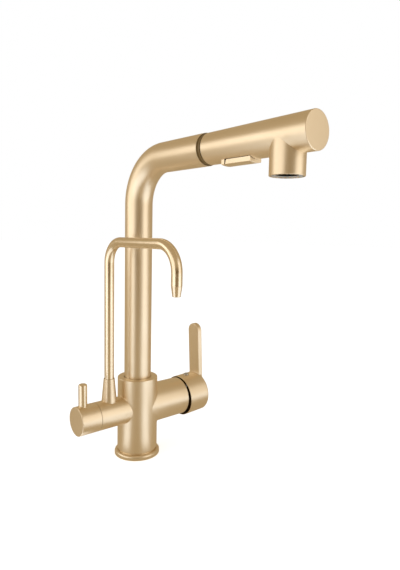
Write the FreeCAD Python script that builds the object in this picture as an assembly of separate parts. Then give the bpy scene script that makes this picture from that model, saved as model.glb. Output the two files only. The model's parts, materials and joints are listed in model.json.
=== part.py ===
import FreeCAD, Part
import math
import os

from FreeCAD import Vector

# Three way filtered water tap: a mixer with a pull-out spray on a swivelling main spout, and
# a small swivelling spout for filtered water with a lever of its own. Millimetres.
# The origin is the centre of the base's underside, on the worktop. +Z is up, the main spout
# points along -Y, the mixer lever is on +X and the filter lever on -X.

# ---- driving dimensions ----

# base and barrel
BASE_R = 25.5
BASE_NECK_R = 21.4
BASE_NECK_Z = 5.6
BARREL_R = 22.5
BARREL_Z = 7.0
BARREL_TOP_Z = 90.0
SPIGOT_R = 19.5
UNDERSIDE_Z = 1.5

# main spout: a 30 mm tube that stands on the origin's axis and bends forward
SPOUT_R = 15.0
SPOUT_WALL = 1.5
SPOUT_AXIS_Z = 329.0
SPOUT_BEND_R = 46.0
SPOUT_END_Y = -110.4
SPOUT_BORE_R = 15.5
BORE_FLOOR_Z = 34.0

# spray head: lies in line with the spout's end, with its outlet pointing down
HEAD_BACK_Y = -115.0
HEAD_FRONT_Y = -229.0
HEAD_BACK_R = 14.4
HEAD_FRONT_R = 15.1
HEAD_WALL = 1.8
OUTLET_Y = -202.5
OUTLET_R = 14.4
OUTLET_Z = 297.5
SHANK_R = 11.55
SHANK_END_Y = -97.0

# button under the head
BUTTON_HALF_WIDTH = 6.9
BUTTON_BACK_Y = -140.0
BUTTON_FRONT_Y = -169.4
BUTTON_EDGE_Z = 312.1
BUTTON_CROWN = 0.9
BUTTON_TOP_Z = 316.2
BUTTON_PIN_Y = -141.9
BUTTON_PIN_Z = 314.4
BUTTON_PIN_R = 0.9
PLUNGER_Y = -156.5
PLUNGER_R = 2.95
PLUNGER_TOP_Z = 321.5
SPRING_SEAT_Z = 326.5
SPRING_WIRE_R = 0.3
SPRING_COIL_R = 2.3
SPRING_TURNS = 4

# arms on the barrel
ARM_Z = 54.5
MIXER_ARM_R = 22.0
MIXER_ARM_X = 59.4
MIXER_ARM_BLEND = 2.5
FILTER_ARM_R = 15.4
FILTER_ARM_X = -54.0
FILTER_ARM_BLEND = 0.8

# mixer cartridge, 35 mm across, on the mixer arm's axis
CHAMBER_X = 27.5
HOUSING_X = 29.0
HOUSING_R = 17.4
HOUSING_SHOULDER_X = 49.5
HOUSING_END_X = 56.0
PIVOT_X = 50.0
PIVOT_PIN_R = 1.5
STEM_HALF = 4.0
STEM_FOOT_R = 2.6
STEM_FOOT_X = 41.0
FLOW_HOLE_R = 2.2
FLOW_HOLES = ((0.0, -3.0), (5.5, 6.0), (-5.5, 6.0))  # mixed, hot, cold: Y, and Z from the arm's axis
DISC_RECESS_R = 5.8

# mixer handle, drawn upright and then leaned towards the barrel about the hub's middle
HANDLE_LEAN_DEG = -3.0
HUB_MIDDLE_X = 77.0
HUB_R = 24.0
HUB_CAVITY_R = 22.8
HUB_BACK_X = 61.7
HUB_MOUTH_R = 23.6
HUB_CAVITY_END_X = 76.0
HUB_FRONT_X = 90.4
BLADE_BACK_X = 87.0
BLADE_FRONT_X = 93.1
BLADE_WIDTH = 18.2
BLADE_TOP_Z = 141.1
BLADE_FOOT_BLEND = 1.2
GRUB_X = 74.0

# filter lever
KNOB_BACK_X = -54.25
KNOB_FRONT_X = -76.5
PIN_LEVER_X = -68.8
PIN_LEVER_R = 4.55
PIN_LEVER_TOP_Z = 93.6

# filter spout: a 10.3 mm tube that stands on the filter arm
FILTER_X = -37.2
FILTER_R = 5.15
FILTER_WALL = 1.0
FILTER_RUN_Z = 242.0
FILTER_BEND_1_R = 22.0
FILTER_BEND_2_R = 25.3
FILTER_REACH_Y = -114.0
FILTER_TIP_JOINT_Z = 205.4
FILTER_TIP_Z = 195.5
FERRULE_TOP_R = 5.9
FERRULE_TOP_Z = 94.0

# connections in the underside: M8x1 tails and M6 studs
PORT_R = 3.5
PORT_CIRCLE_R = 12.2
PORT_DEPTH = 12.0
MIXED_PORT_DEG = 0.0
HOT_PORT_DEG = 55.0
COLD_PORT_DEG = -55.0
FILTER_PORT_DEG = 180.0
STUD_R = 2.5
STUD_CIRCLE_R = 13.5
STUD_DEPTH = 14.0
STUD_DEG = (120.0, -120.0)
HOSE_PASSAGE_R = 7.0
WATER_WAY_R = 2.2

# pull-out hose
HOSE_R = 6.0
HOSE_BORE_R = 4.0
HOSE_TAIL_Z = 14.0
HOSE_HEAD_Y = -92.0

FIT = 0.05  # radial clearance of a running fit
GAP = 0.35  # clearance between pieces that move past each other freely

X = Vector(1, 0, 0)
Y = Vector(0, 1, 0)
Z = Vector(0, 0, 1)


# ---- helpers ----


def rod(start, axis, radius, length):
    """A solid cylinder from start along axis."""
    return Part.makeCylinder(radius, length, Vector(*start), axis)


def pipe(start, axis, outer, inner, length):
    """A hollow cylinder from start along axis."""
    return rod(start, axis, outer, length).cut(rod(start, axis, inner, length))


def bar(start, end, radius):
    """A solid cylinder between two points, used as the drill of a slanted water way."""
    run = Vector(*end) - Vector(*start)
    return Part.makeCylinder(radius, run.Length, Vector(*start), run)


def block(low, high):
    """A box between two opposite corners."""
    size = Vector(*high) - Vector(*low)
    return Part.makeBox(size.x, size.y, size.z, Vector(*low))


def outline(corners):
    """A closed wire in the XZ plane. A corner is (x, z) or (x, z, rounding radius)."""
    count = len(corners)
    points = [Vector(c[0], 0, c[1]) for c in corners]
    entries = []
    exits = []
    edges = []
    for i, corner in enumerate(corners):
        radius = corner[2] if len(corner) > 2 else 0.0
        to_last = (points[i - 1] - points[i]).normalize()
        to_next = (points[(i + 1) % count] - points[i]).normalize()
        if radius == 0.0:
            entries.append(points[i])
            exits.append(points[i])
            continue
        half = to_last.getAngle(to_next) / 2
        entry = points[i] + to_last * (radius / math.tan(half))
        leave = points[i] + to_next * (radius / math.tan(half))
        towards = (to_last + to_next).normalize()
        middle = points[i] + towards * (radius / math.sin(half) - radius)
        edges.append(Part.Arc(entry, middle, leave).toShape())
        entries.append(entry)
        exits.append(leave)
    for i in range(count):
        start = exits[i]
        end = entries[(i + 1) % count]
        if (end - start).Length > 1e-6:
            edges.append(Part.LineSegment(start, end).toShape())
    return Part.Wire(Part.__sortEdges__(edges))


def turned(corners, centre=(0, 0, 0), axis=Z):
    """A piece turned on a lathe: corners are (radius, distance along axis, rounding radius)."""
    shape = Part.Face(outline(corners)).revolve(Vector(0, 0, 0), Z, 360)
    shape.Placement = FreeCAD.Placement(Vector(*centre), FreeCAD.Rotation(Z, axis))
    return shape


def annulus(centre, axis, outer, inner):
    """A flat ring face, square to axis."""
    rim = Part.Wire(Part.makeCircle(outer, Vector(*centre), axis))
    hole = Part.Wire(Part.makeCircle(inner, Vector(*centre), axis))
    return Part.makeFace([rim, hole], "Part::FaceMakerBullseye")


def joined(first, *others):
    """Solids joined into one, with no leftover seams."""
    return first.fuse(list(others)).removeSplitter()


def hexagon(centre, axis, across_flats, depth):
    """A hexagonal prism from centre along axis, used as the cutter of a key socket."""
    corner = across_flats / math.sqrt(3)
    turns = [math.radians(60 * i) for i in range(6)]
    points = [Vector(corner * math.cos(t), corner * math.sin(t), 0) for t in turns]
    prism = Part.Face(Part.makePolygon(points + points[:1])).extrude(Vector(0, 0, depth))
    prism.Placement = FreeCAD.Placement(Vector(*centre), FreeCAD.Rotation(Z, axis))
    return prism


def port_place(degrees, circle_r):
    """The XY place of a hole in the underside."""
    turn = math.radians(degrees)
    return circle_r * math.cos(turn), circle_r * math.sin(turn)


def bend(centre, axis, outer, inner, around):
    """A quarter bend of tube that starts at centre, going along axis, and turns about X."""
    return annulus(centre, axis, outer, inner).revolve(Vector(*around), X, 90)


def tangent_arc(start, heading, end):
    """An arc that leaves start along heading and reaches end."""
    chord = end - start
    side = (heading - chord * (heading.dot(chord) / chord.dot(chord))).normalize()
    rise = chord.Length / 2 * math.tan(heading.getAngle(chord) / 2)
    return Part.Arc(start, start + chord / 2 + side * rise, end).toShape()


def coil_line(radius, pitch, turns):
    """A coil's centre line about Z, as two smooth arcs a quarter turn, and its first heading."""
    slope = pitch / (2 * math.pi)
    stretch = math.hypot(radius, slope)
    edges = []
    for quarter in range(4 * turns):
        ends = []
        for turn in (quarter * math.pi / 2, (quarter + 1) * math.pi / 2):
            place = Vector(radius * math.cos(turn), radius * math.sin(turn), slope * turn)
            heading = Vector(-radius * math.sin(turn), radius * math.cos(turn), slope) / stretch
            ends.append((place, heading))
        (start, leaving), (end, arriving) = ends
        span = end - start
        along = span.dot(leaving + arriving)
        turning = 2 * (1 - leaving.dot(arriving))
        reach = (math.sqrt(along ** 2 + turning * span.dot(span)) - along) / turning
        middle = (start + end + (leaving - arriving) * reach) / 2
        edges += [tangent_arc(start, leaving, middle), tangent_arc(end, -arriving, middle)]
    return Part.Wire(Part.__sortEdges__(edges)), Vector(0, radius, slope)


def lean(shape):
    """Leans a piece of the handle towards the barrel, about the middle of the hub."""
    leaned = shape.copy()
    leaned.rotate(Vector(HUB_MIDDLE_X, 0, ARM_Z), Y, HANDLE_LEAN_DEG)
    return leaned


# ---- base and barrel ----


def base_ring():
    return turned([
        (SPIGOT_R + 0.1, 0), (20.8, 0), (20.8, 2.0), (23.2, 2.0), (23.2, 0), (BASE_R, 0, 0.4),
        (BASE_R, BASE_NECK_Z, 2.6), (BASE_NECK_R, BASE_NECK_Z), (BASE_NECK_R, BARREL_Z),
        (SPIGOT_R + 0.1, BARREL_Z),
    ])


def deck_seal():
    return turned([(20.9, 0), (23.1, 0), (23.1, 1.9), (20.9, 1.9)])


def underside_holes():
    """The threaded ports, the stud holes, the hose passage and the water ways above the ports."""
    cuts = [rod((0, 0, UNDERSIDE_Z), Z, HOSE_PASSAGE_R, BORE_FLOOR_Z)]
    for degrees in (MIXED_PORT_DEG, HOT_PORT_DEG, COLD_PORT_DEG, FILTER_PORT_DEG):
        place = port_place(degrees, PORT_CIRCLE_R)
        cuts.append(rod((*place, UNDERSIDE_Z), Z, PORT_R, PORT_DEPTH))
    for degrees in STUD_DEG:
        place = port_place(degrees, STUD_CIRCLE_R)
        cuts.append(rod((*place, UNDERSIDE_Z), Z, STUD_R, STUD_DEPTH))
    return cuts


def drilled_way(points):
    """A water way that runs straight from point to point, with round corners."""
    legs = [bar(start, end, WATER_WAY_R) for start, end in zip(points, points[1:])]
    corners = [Part.makeSphere(WATER_WAY_R, Vector(*point)) for point in points[1:-1]]
    return legs[0].fuse(legs[1:] + corners)


def water_ways():
    """Ways from the ports, up inside the barrel's wall, to the floors of the two valve chambers."""
    bottom = UNDERSIDE_Z + PORT_DEPTH - 0.5
    wall_r = (SPOUT_BORE_R + BARREL_R) / 2 - 0.2
    ways = []
    for degrees, (y, z) in zip((MIXED_PORT_DEG, HOT_PORT_DEG, COLD_PORT_DEG), FLOW_HOLES):
        place = port_place(degrees, PORT_CIRCLE_R)
        wall_x = math.sqrt(wall_r ** 2 - y ** 2)
        height = ARM_Z + z
        up = [(*place, bottom), (wall_x, y, BORE_FLOOR_Z), (wall_x, y, height)]
        ways.append(drilled_way(up + [(CHAMBER_X + 0.5, y, height)]))
    place = port_place(FILTER_PORT_DEG, PORT_CIRCLE_R)
    height = ARM_Z - 4.5
    up = [(*place, bottom), (-wall_r, 0, BORE_FLOOR_Z), (-wall_r, 0, height)]
    ways.append(drilled_way(up + [(-31.0, 0, height)]))
    return ways


def blended_arm(shape, radius, side):
    """Rounds the corner where one arm meets the barrel; side is +1 for the mixer arm, -1 for the other."""
    meeting = []
    for edge in shape.Edges:
        box = edge.BoundBox
        near, far = sorted((side * box.XMin, side * box.XMax))
        upright = box.ZMin > 20 and box.ZMax < 85 and box.YLength > 2 and box.ZLength > 2
        if near > 0.5 and far < 26 and upright:
            meeting.append(edge)
    return shape.makeFillet(radius, meeting)


def tap_body():
    barrel = turned([
        (0, UNDERSIDE_Z), (SPIGOT_R, UNDERSIDE_Z), (SPIGOT_R, BARREL_Z), (BARREL_R, BARREL_Z, 0.6),
        (BARREL_R, BARREL_TOP_Z, 1.0), (0, BARREL_TOP_Z),
    ])
    mixer_arm = turned([(0, 0), (MIXER_ARM_R, 0), (MIXER_ARM_R, MIXER_ARM_X, 0.6), (0, MIXER_ARM_X)],
                       (0, 0, ARM_Z), X)
    filter_arm = turned([(0, 0), (FILTER_ARM_R, 0), (FILTER_ARM_R, -FILTER_ARM_X, 0.15), (0, -FILTER_ARM_X)],
                        (0, 0, ARM_Z), -X)
    shape = joined(barrel, mixer_arm, filter_arm)
    shape = blended_arm(shape, MIXER_ARM_BLEND, 1)
    shape = blended_arm(shape, FILTER_ARM_BLEND, -1)
    cuts = underside_holes() + water_ways()
    cuts.append(rod((0, 0, BORE_FLOOR_Z), Z, SPOUT_BORE_R, BARREL_TOP_Z))
    cuts.append(rod((0, 0, 82.0), Z, 17.0, 5.0))
    cuts.append(rod((0, 0, 47.7), Y, 3.0, BARREL_R + 1))
    cuts.append(rod((CHAMBER_X, 0, ARM_Z), X, HOUSING_R + 0.1, MIXER_ARM_X))
    cuts.append(rod((HOUSING_SHOULDER_X - 0.5, 0, ARM_Z), X, 19.5, MIXER_ARM_X))
    cuts.append(rod((-30.0, 0, ARM_Z), -X, 9.2, 30.0))
    cuts.append(rod((-50.0, 0, ARM_Z), -X, 12.7, 10.0))
    cuts.append(rod((FILTER_X, 0, ARM_Z), Z, 7.5, 30.0))
    return shape.cut(cuts)


def column_guide_ring():
    return pipe((0, 0, 82.1), Z, 16.95, SPOUT_R + FIT, 4.8)


def spout_thrust_washer():
    return pipe((0, 0, BORE_FLOOR_Z), Z, 15.3, 11.5, 2.0 - FIT)


def spout_retaining_screw():
    thread = rod((0, 16.0, 47.7), Y, 3.0, 5.6)
    tip = rod((0, 13.9, 47.7), Y, 1.6, 2.5)
    return joined(thread, tip).cut(hexagon((0, 21.6 - 3.0, 47.7), Y, 3.0, 4.0))


# ---- mixer cartridge ----


def flow_holes(x, length, radius):
    """The three water holes through the cartridge's base, seal and fixed disc: mixed, hot and cold."""
    return [rod((x, y, ARM_Z + z), X, radius, length) for y, z in FLOW_HOLES]


def cartridge_seal():
    return rod((CHAMBER_X, 0, ARM_Z), X, 17.2, 1.5).cut(flow_holes(CHAMBER_X - 1, 4.0, FLOW_HOLE_R))


def cartridge_housing():
    length = HOUSING_END_X - HOUSING_X
    shoulder = HOUSING_SHOULDER_X - HOUSING_X
    shape = turned([
        (0, 0), (HOUSING_R, 0), (HOUSING_R, shoulder), (14.4, shoulder), (14.4, length, 0.5),
        (12.2, length), (12.2, 18.0), (15.0, 18.0), (15.0, 3.0), (0, 3.0),
    ], (HOUSING_X, 0, ARM_Z), X)
    return shape.cut(flow_holes(HOUSING_X - 1, 5.0, FLOW_HOLE_R))


def fixed_disc():
    return rod((32.0, 0, ARM_Z), X, 14.9, 3.0).cut(flow_holes(31.0, 5.0, FLOW_HOLE_R))


def cartridge_nut():
    ring = pipe((HOUSING_SHOULDER_X, 0, ARM_Z), X, 19.4, 14.6, 8.0)
    slots = [block((55.0, -2.0, ARM_Z - 20), (58.0, 2.0, ARM_Z + 20))]
    slots.append(block((55.0, -20, ARM_Z - 2.0), (58.0, 20, ARM_Z + 2.0)))
    return ring.cut(slots)


def cartridge_rotor():
    shape = turned([(0, 43.0), (14.6, 43.0), (14.6, 46.7), (12.1, 46.7), (12.1, 57.0, 0.6), (0, 57.0)],
                   (0, 0, ARM_Z), X)
    stem_slot = block((45.2, -STEM_HALF - GAP, ARM_Z - 8.7), (58.0, STEM_HALF + GAP, ARM_Z + 6.6))
    neck_slot = block((42.0, -2.3, ARM_Z - 2.8), (46.0, 2.3, ARM_Z + 6.4))
    return shape.cut([stem_slot, neck_slot, rod((PIVOT_X, -15, ARM_Z), Y, PIVOT_PIN_R, 30)])


def stem_pivot_pin():
    return rod((PIVOT_X, -10.5, ARM_Z), Y, PIVOT_PIN_R, 21.0)


def cartridge_stem():
    stem = block((46.9, -STEM_HALF, ARM_Z - STEM_HALF), (82.0, STEM_HALF, ARM_Z + STEM_HALF))
    neck = rod((STEM_FOOT_X, 0, ARM_Z), X, 1.8, 7.0)
    foot = Part.makeSphere(STEM_FOOT_R, Vector(STEM_FOOT_X, 0, ARM_Z))
    shape = joined(stem, neck, foot)
    return shape.cut(rod((PIVOT_X, -15, ARM_Z), Y, PIVOT_PIN_R + FIT, 30))


def disc_carrier():
    disc = rod((38.0, 0, ARM_Z), X, 10.8, 4.6)
    return disc.cut(rod((37.0, 0, ARM_Z), X, STEM_FOOT_R + GAP, 7.0))


def sliding_disc():
    """Its recess joins the mixed hole to the hot and cold ones only when the lever lifts the disc."""
    disc = rod((35.0 + FIT, 0, ARM_Z), X, 10.8, 3.0 - FIT)
    return disc.cut(rod((34.0, 0, ARM_Z - 1.0), X, DISC_RECESS_R, 2.5))


# ---- mixer handle ----


def lever_blade():
    """A flat bar with round ends. The lower one is centred on the hub and let into its front."""
    half = BLADE_WIDTH / 2
    thick = BLADE_FRONT_X - BLADE_BACK_X
    plate = block((BLADE_BACK_X, -half, ARM_Z), (BLADE_FRONT_X, half, BLADE_TOP_Z - half))
    tip = rod((BLADE_BACK_X, 0, BLADE_TOP_Z - half), X, half, thick)
    foot = rod((BLADE_BACK_X, 0, ARM_Z), X, half, thick)
    blade = joined(plate, tip, foot)
    return blade.makeFillet(0.7, [e for e in blade.Edges if e.BoundBox.XLength < 0.01])


def mixer_handle():
    boss_end = HUB_CAVITY_END_X - 10.0
    hub = turned([
        (0, boss_end), (8.0, boss_end), (8.0, HUB_CAVITY_END_X), (HUB_CAVITY_R, HUB_CAVITY_END_X),
        (HUB_CAVITY_R, HUB_BACK_X + 1.5), (HUB_MOUTH_R, HUB_BACK_X), (HUB_R, HUB_BACK_X, 0.2),
        (HUB_R, HUB_FRONT_X, 2.0), (0, HUB_FRONT_X),
    ], (0, 0, ARM_Z), X)
    shape = joined(hub, lever_blade())
    meeting = []
    for edge in shape.Edges:
        box = edge.BoundBox
        across = box.YLength > BLADE_WIDTH / 2 and box.XLength < 0.01
        if across and abs(box.XMin - BLADE_BACK_X) < 0.01 and box.ZMin > ARM_Z:
            meeting.append(edge)
    shape = shape.makeFillet(BLADE_FOOT_BLEND, meeting)
    grub_hole = rod((GRUB_X, 0, ARM_Z), Z, 2.5, 30.0)
    plug_hole = rod((GRUB_X, 0, ARM_Z + 19.0), Z, 3.3, 10.0)
    reach = STEM_HALF + 0.05
    stem_hole = block((60.0, -reach, ARM_Z - reach), (82.5, reach, ARM_Z + reach))
    return lean(shape.cut([grub_hole, plug_hole])).cut(stem_hole)


def handle_grub_screw():
    screw = rod((GRUB_X, 0, ARM_Z + STEM_HALF + 0.4), Z, 2.5, 8.0)
    return lean(screw.cut(hexagon((GRUB_X, 0, ARM_Z + 9.4), Z, 2.5, 4.0)))


def handle_screw_plug():
    return lean(turned([(0, 19.2), (3.25, 19.2), (3.25, HUB_R + 1.7, 1.5), (0, HUB_R + 1.7)],
                       (GRUB_X, 0, ARM_Z)))


# ---- filter valve and lever ----


def filter_seal():
    return pipe((-30.0, 0, ARM_Z), -X, 9.0, 4.5, 3.0)


def filter_headwork():
    shape = turned([
        (6.5, 33.0), (9.1, 33.0), (9.1, 35.0), (8.0, 35.0), (8.0, 41.0), (9.1, 41.0), (9.1, 50.0),
        (12.4, 50.0), (12.4, 53.8), (8.5, 53.8), (8.5, 60.0, 0.4), (4.0 + FIT, 60.0), (4.0 + FIT, 46.0),
        (6.5, 46.0),
    ], (0, 0, ARM_Z), -X)
    windows = [rod((-39.0, 0, ARM_Z - 12), Z, 1.6, 24.0), rod((-39.0, -12, ARM_Z), Y, 1.6, 24.0)]
    return shape.cut(windows)


def filter_fixed_disc():
    return rod((-33.0, 0, ARM_Z), -X, 6.45, 3.0).cut(rod((-32.0, 0, ARM_Z + 3.2), -X, 1.8, 6.0))


def filter_turning_disc():
    return rod((-36.0 - FIT, 0, ARM_Z), -X, 6.3, 2.5).cut(rod((-35.0, 0, ARM_Z - 3.2), -X, 1.8, 6.0))


def filter_spindle():
    return turned([(0, 42.0), (6.3, 42.0), (6.3, 45.6), (4.0, 45.6), (4.0, 70.0, 0.4), (0, 70.0)],
                  (0, 0, ARM_Z), -X).fuse(rod((-38.5 - FIT, 0, ARM_Z), -X, 3.0, 4.0)).removeSplitter()


def filter_knob():
    shape = turned([
        (0, 62.0), (13.0, 62.0), (13.0, -KNOB_BACK_X), (FILTER_ARM_R, -KNOB_BACK_X, 0.15),
        (FILTER_ARM_R, -KNOB_FRONT_X, 0.6), (0, -KNOB_FRONT_X),
    ], (0, 0, ARM_Z), -X)
    spindle_hole = rod((-60.0, 0, ARM_Z), -X, 4.0, 10.2)
    lever_hole = rod((PIN_LEVER_X, 0, ARM_Z + 6.5), Z, 3.0, 12.0)
    lever_seat = rod((PIN_LEVER_X, 0, ARM_Z + 12.0), Z, PIN_LEVER_R, 12.0)
    grub_hole = rod((-65.5, 0, ARM_Z), -Z, 2.0, 20.0)
    return shape.cut([spindle_hole, lever_hole, lever_seat, grub_hole])


def filter_grub_screw():
    screw = rod((-65.5, 0, ARM_Z - 4.05), -Z, 2.0, 8.0)
    return screw.cut(hexagon((-65.5, 0, ARM_Z - 9.5), -Z, 2.0, 4.0))


def filter_lever_pin():
    top = PIN_LEVER_TOP_Z - ARM_Z
    return turned([
        (0, 7.0), (3.0, 7.0), (3.0, 12.0), (PIN_LEVER_R, 12.0), (PIN_LEVER_R, top, 1.8), (0, top),
    ], (PIN_LEVER_X, 0, ARM_Z))


# ---- filter spout ----


def filter_ferrule():
    cone = turned([
        (0, 62.0), (8.2, 62.0), (8.2, 69.5, 2.0), (7.8, 73.5, 20.0), (FERRULE_TOP_R, FERRULE_TOP_Z, 0.2),
        (0, FERRULE_TOP_Z),
    ], (FILTER_X, 0, 0))
    saddle = cone.cut(rod((-60.0, 0, ARM_Z), X, FILTER_ARM_R, 50.0))
    shape = joined(saddle, rod((FILTER_X, 0, 64.2), Z, 7.5, 8.0))
    cuts = [rod((FILTER_X, 0, 64.0), Z, 6.25, 9.0), rod((FILTER_X, 0, 60.0), Z, FILTER_R + FIT, 40.0)]
    cuts.append(rod((FILTER_X, 0, FERRULE_TOP_Z - 2.4), Z, 5.5, 3.0))
    return shape.cut(cuts)


def filter_wiper_ring():
    return pipe((FILTER_X, 0, FERRULE_TOP_Z - 2.4), Z, 5.5, FILTER_R + FIT, 1.8)


def filter_spout_tube():
    inner = FILTER_R - FILTER_WALL
    bend_1_z = FILTER_RUN_Z - FILTER_BEND_1_R
    bend_2_y = FILTER_REACH_Y + FILTER_BEND_2_R
    bend_2_z = FILTER_RUN_Z - FILTER_BEND_2_R
    foot = 65.0
    riser = annulus((FILTER_X, 0, foot), Z, FILTER_R, inner).extrude(Z * (bend_1_z - foot))
    first = bend((FILTER_X, 0, bend_1_z), Z, FILTER_R, inner, (FILTER_X, -FILTER_BEND_1_R, bend_1_z))
    run_length = -FILTER_BEND_1_R - bend_2_y
    run = annulus((FILTER_X, -FILTER_BEND_1_R, FILTER_RUN_Z), -Y, FILTER_R, inner).extrude(-Y * run_length)
    second = bend((FILTER_X, bend_2_y, FILTER_RUN_Z), -Y, FILTER_R, inner, (FILTER_X, bend_2_y, bend_2_z))
    drop = annulus((FILTER_X, FILTER_REACH_Y, bend_2_z), -Z, FILTER_R, inner)
    drop = drop.extrude(-Z * (bend_2_z - FILTER_TIP_JOINT_Z))
    return joined(riser, first, run, second, drop)


def filter_spout_foot():
    groove = 5.4
    return turned([
        (FILTER_R, 65.0), (6.2, 65.0), (6.2, 67.6), (groove, 67.6), (groove, 69.8), (6.2, 69.8),
        (6.2, 72.7), (FILTER_R, 72.7),
    ], (FILTER_X, 0, 0))


def filter_spout_oring():
    return turned([(5.4, 67.7), (6.2, 67.7, 0.35), (6.2, 69.7, 0.35), (5.4, 69.7)], (FILTER_X, 0, 0))


def filter_spout_tip():
    """A plain cone below the tube, with a fine groove where the two meet."""
    bore = FILTER_R - FILTER_WALL
    joint = FILTER_TIP_JOINT_Z
    groove = FILTER_R - 0.4
    return turned([
        (3.2, joint + 5.0), (bore, joint + 5.0), (bore, joint), (groove, joint), (groove, joint - 0.4),
        (FILTER_R - 0.05, joint - 0.4, 0.15), (3.7, FILTER_TIP_Z, 0.4), (3.2, FILTER_TIP_Z),
    ], (FILTER_X, FILTER_REACH_Y, 0))


def filter_tip_screen():
    screen = rod((FILTER_X, FILTER_REACH_Y, FILTER_TIP_Z + 0.8), Z, 3.2, 2.5)
    holes = [rod((FILTER_X, FILTER_REACH_Y, FILTER_TIP_Z), Z, 0.45, 5.0)]
    for i in range(6):
        turn = math.radians(60 * i)
        place = (FILTER_X + 1.9 * math.cos(turn), FILTER_REACH_Y + 1.9 * math.sin(turn), FILTER_TIP_Z)
        holes.append(rod(place, Z, 0.45, 5.0))
    return screen.cut(holes)


# ---- main spout ----


def swan_neck(outer, inner, foot_z, end_y):
    """A tube along the main spout's centre line, from foot_z up and round to end_y."""
    top = SPOUT_AXIS_Z - SPOUT_BEND_R
    column = annulus((0, 0, foot_z), Z, outer, inner).extrude(Z * (top - foot_z))
    corner = bend((0, 0, top), Z, outer, inner, (0, -SPOUT_BEND_R, top))
    arm = annulus((0, -SPOUT_BEND_R, SPOUT_AXIS_Z), -Y, outer, inner).extrude(-Y * (-end_y - SPOUT_BEND_R))
    return joined(column, corner, arm)


def spout_tube():
    return swan_neck(SPOUT_R, SPOUT_R - SPOUT_WALL, 62.0, SPOUT_END_Y)


def spout_foot():
    ring = 13.4
    tube_bore = SPOUT_R - SPOUT_WALL
    return turned([
        (11.0, 36.0), (SPOUT_R, 36.0, 0.3), (SPOUT_R, 38.0), (ring, 38.0), (ring, 42.0), (SPOUT_R, 42.0),
        (SPOUT_R, 45.7), (ring, 45.7), (ring, 49.7), (SPOUT_R, 49.7), (SPOUT_R, 54.0), (ring, 54.0),
        (ring, 58.0), (SPOUT_R, 58.0), (SPOUT_R, 62.0), (tube_bore, 62.0), (tube_bore, 68.0), (11.0, 68.0),
    ])


def swivel_ring(low_z):
    ring = pipe((0, 0, low_z), Z, SPOUT_BORE_R - FIT, 13.4, 3.9)
    return ring.cut(block((-0.6, 0, low_z - 1), (0.6, 20, low_z + 5)))


def lower_swivel_ring():
    return swivel_ring(38.05)


def upper_swivel_ring():
    return swivel_ring(54.05)


def docking_collar():
    end = -SPOUT_END_Y
    lip = SPOUT_R - 0.2
    return turned([
        (12.0, 104.0), (13.5, 104.0), (13.5, end), (lip, end), (lip, end + 0.8, 0.3), (13.9, end + 0.8),
        (13.9, 113.9, 0.3), (12.0, 113.9),
    ], (0, 0, SPOUT_AXIS_Z), -Y)


def docking_bush():
    return turned([(SHANK_R + FIT, 93.0, 0.4), (13.5, 93.0), (13.5, 104.0), (SHANK_R + FIT, 104.0)],
                  (0, 0, SPOUT_AXIS_Z), -Y)


def pull_out_hose():
    return swan_neck(HOSE_R, HOSE_BORE_R, HOSE_TAIL_Z, HOSE_HEAD_Y)


def hose_tail_fitting():
    return turned([
        (3.0, 2.5), (5.0, 2.5), (5.0, 8.0), (6.6, 8.0, 0.3), (6.6, HOSE_TAIL_Z), (HOSE_BORE_R, HOSE_TAIL_Z),
        (HOSE_BORE_R, 20.0), (3.0, 20.0),
    ])


# ---- spray head ----


def head_radius(y):
    """The head tapers evenly from its back to its front."""
    share = (y - HEAD_BACK_Y) / (HEAD_FRONT_Y - HEAD_BACK_Y)
    return HEAD_BACK_R + share * (HEAD_FRONT_R - HEAD_BACK_R)


def head_shell():
    back, front, outlet = -HEAD_BACK_Y, -HEAD_FRONT_Y, -OUTLET_Y
    axis_place = (0, 0, SPOUT_AXIS_Z)
    outside = turned([(0, back), (HEAD_BACK_R, back, 0.9), (HEAD_FRONT_R, front, 0.6), (0, front)],
                     axis_place, -Y)
    inner_back = head_radius(HEAD_BACK_Y) - HEAD_WALL
    inner_front = head_radius(HEAD_FRONT_Y) - HEAD_WALL
    hollow = turned([(0, back + 2), (inner_back, back + 2), (inner_front, front - 3), (0, front - 3)],
                    axis_place, -Y)
    drop = SPOUT_AXIS_Z - OUTLET_Z
    outlet_place = (0, OUTLET_Y, SPOUT_AXIS_Z)
    outlet = turned([(0, 0), (OUTLET_R, 0), (OUTLET_R, drop, 0.5), (0, drop)], outlet_place, -Z)
    outlet_hollow = turned([
        (0, 0), (12.6, 0), (12.6, drop - 2.6), (13.4, drop - 2.6), (13.4, drop), (0, drop),
    ], outlet_place, -Z)
    shell = joined(outside, outlet)
    half = BUTTON_HALF_WIDTH + GAP
    pocket = block((-half, BUTTON_FRONT_Y - 0.6, 305.0), (half, BUTTON_BACK_Y + 3.9, 320.0))
    room = half + 0.4
    pocket = joined(pocket, block((-room, BUTTON_FRONT_Y - 0.6, 305.0), (room, BUTTON_BACK_Y, 320.0)))
    shank_hole = rod((0, HEAD_BACK_Y + 1, SPOUT_AXIS_Z), -Y, SHANK_R, 5.0)
    return shell.cut([hollow, outlet_hollow, pocket, shank_hole])


def docking_cushion():
    return pipe((0, HEAD_BACK_Y, SPOUT_AXIS_Z), Y, 13.4, SHANK_R, 0.75)


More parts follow.
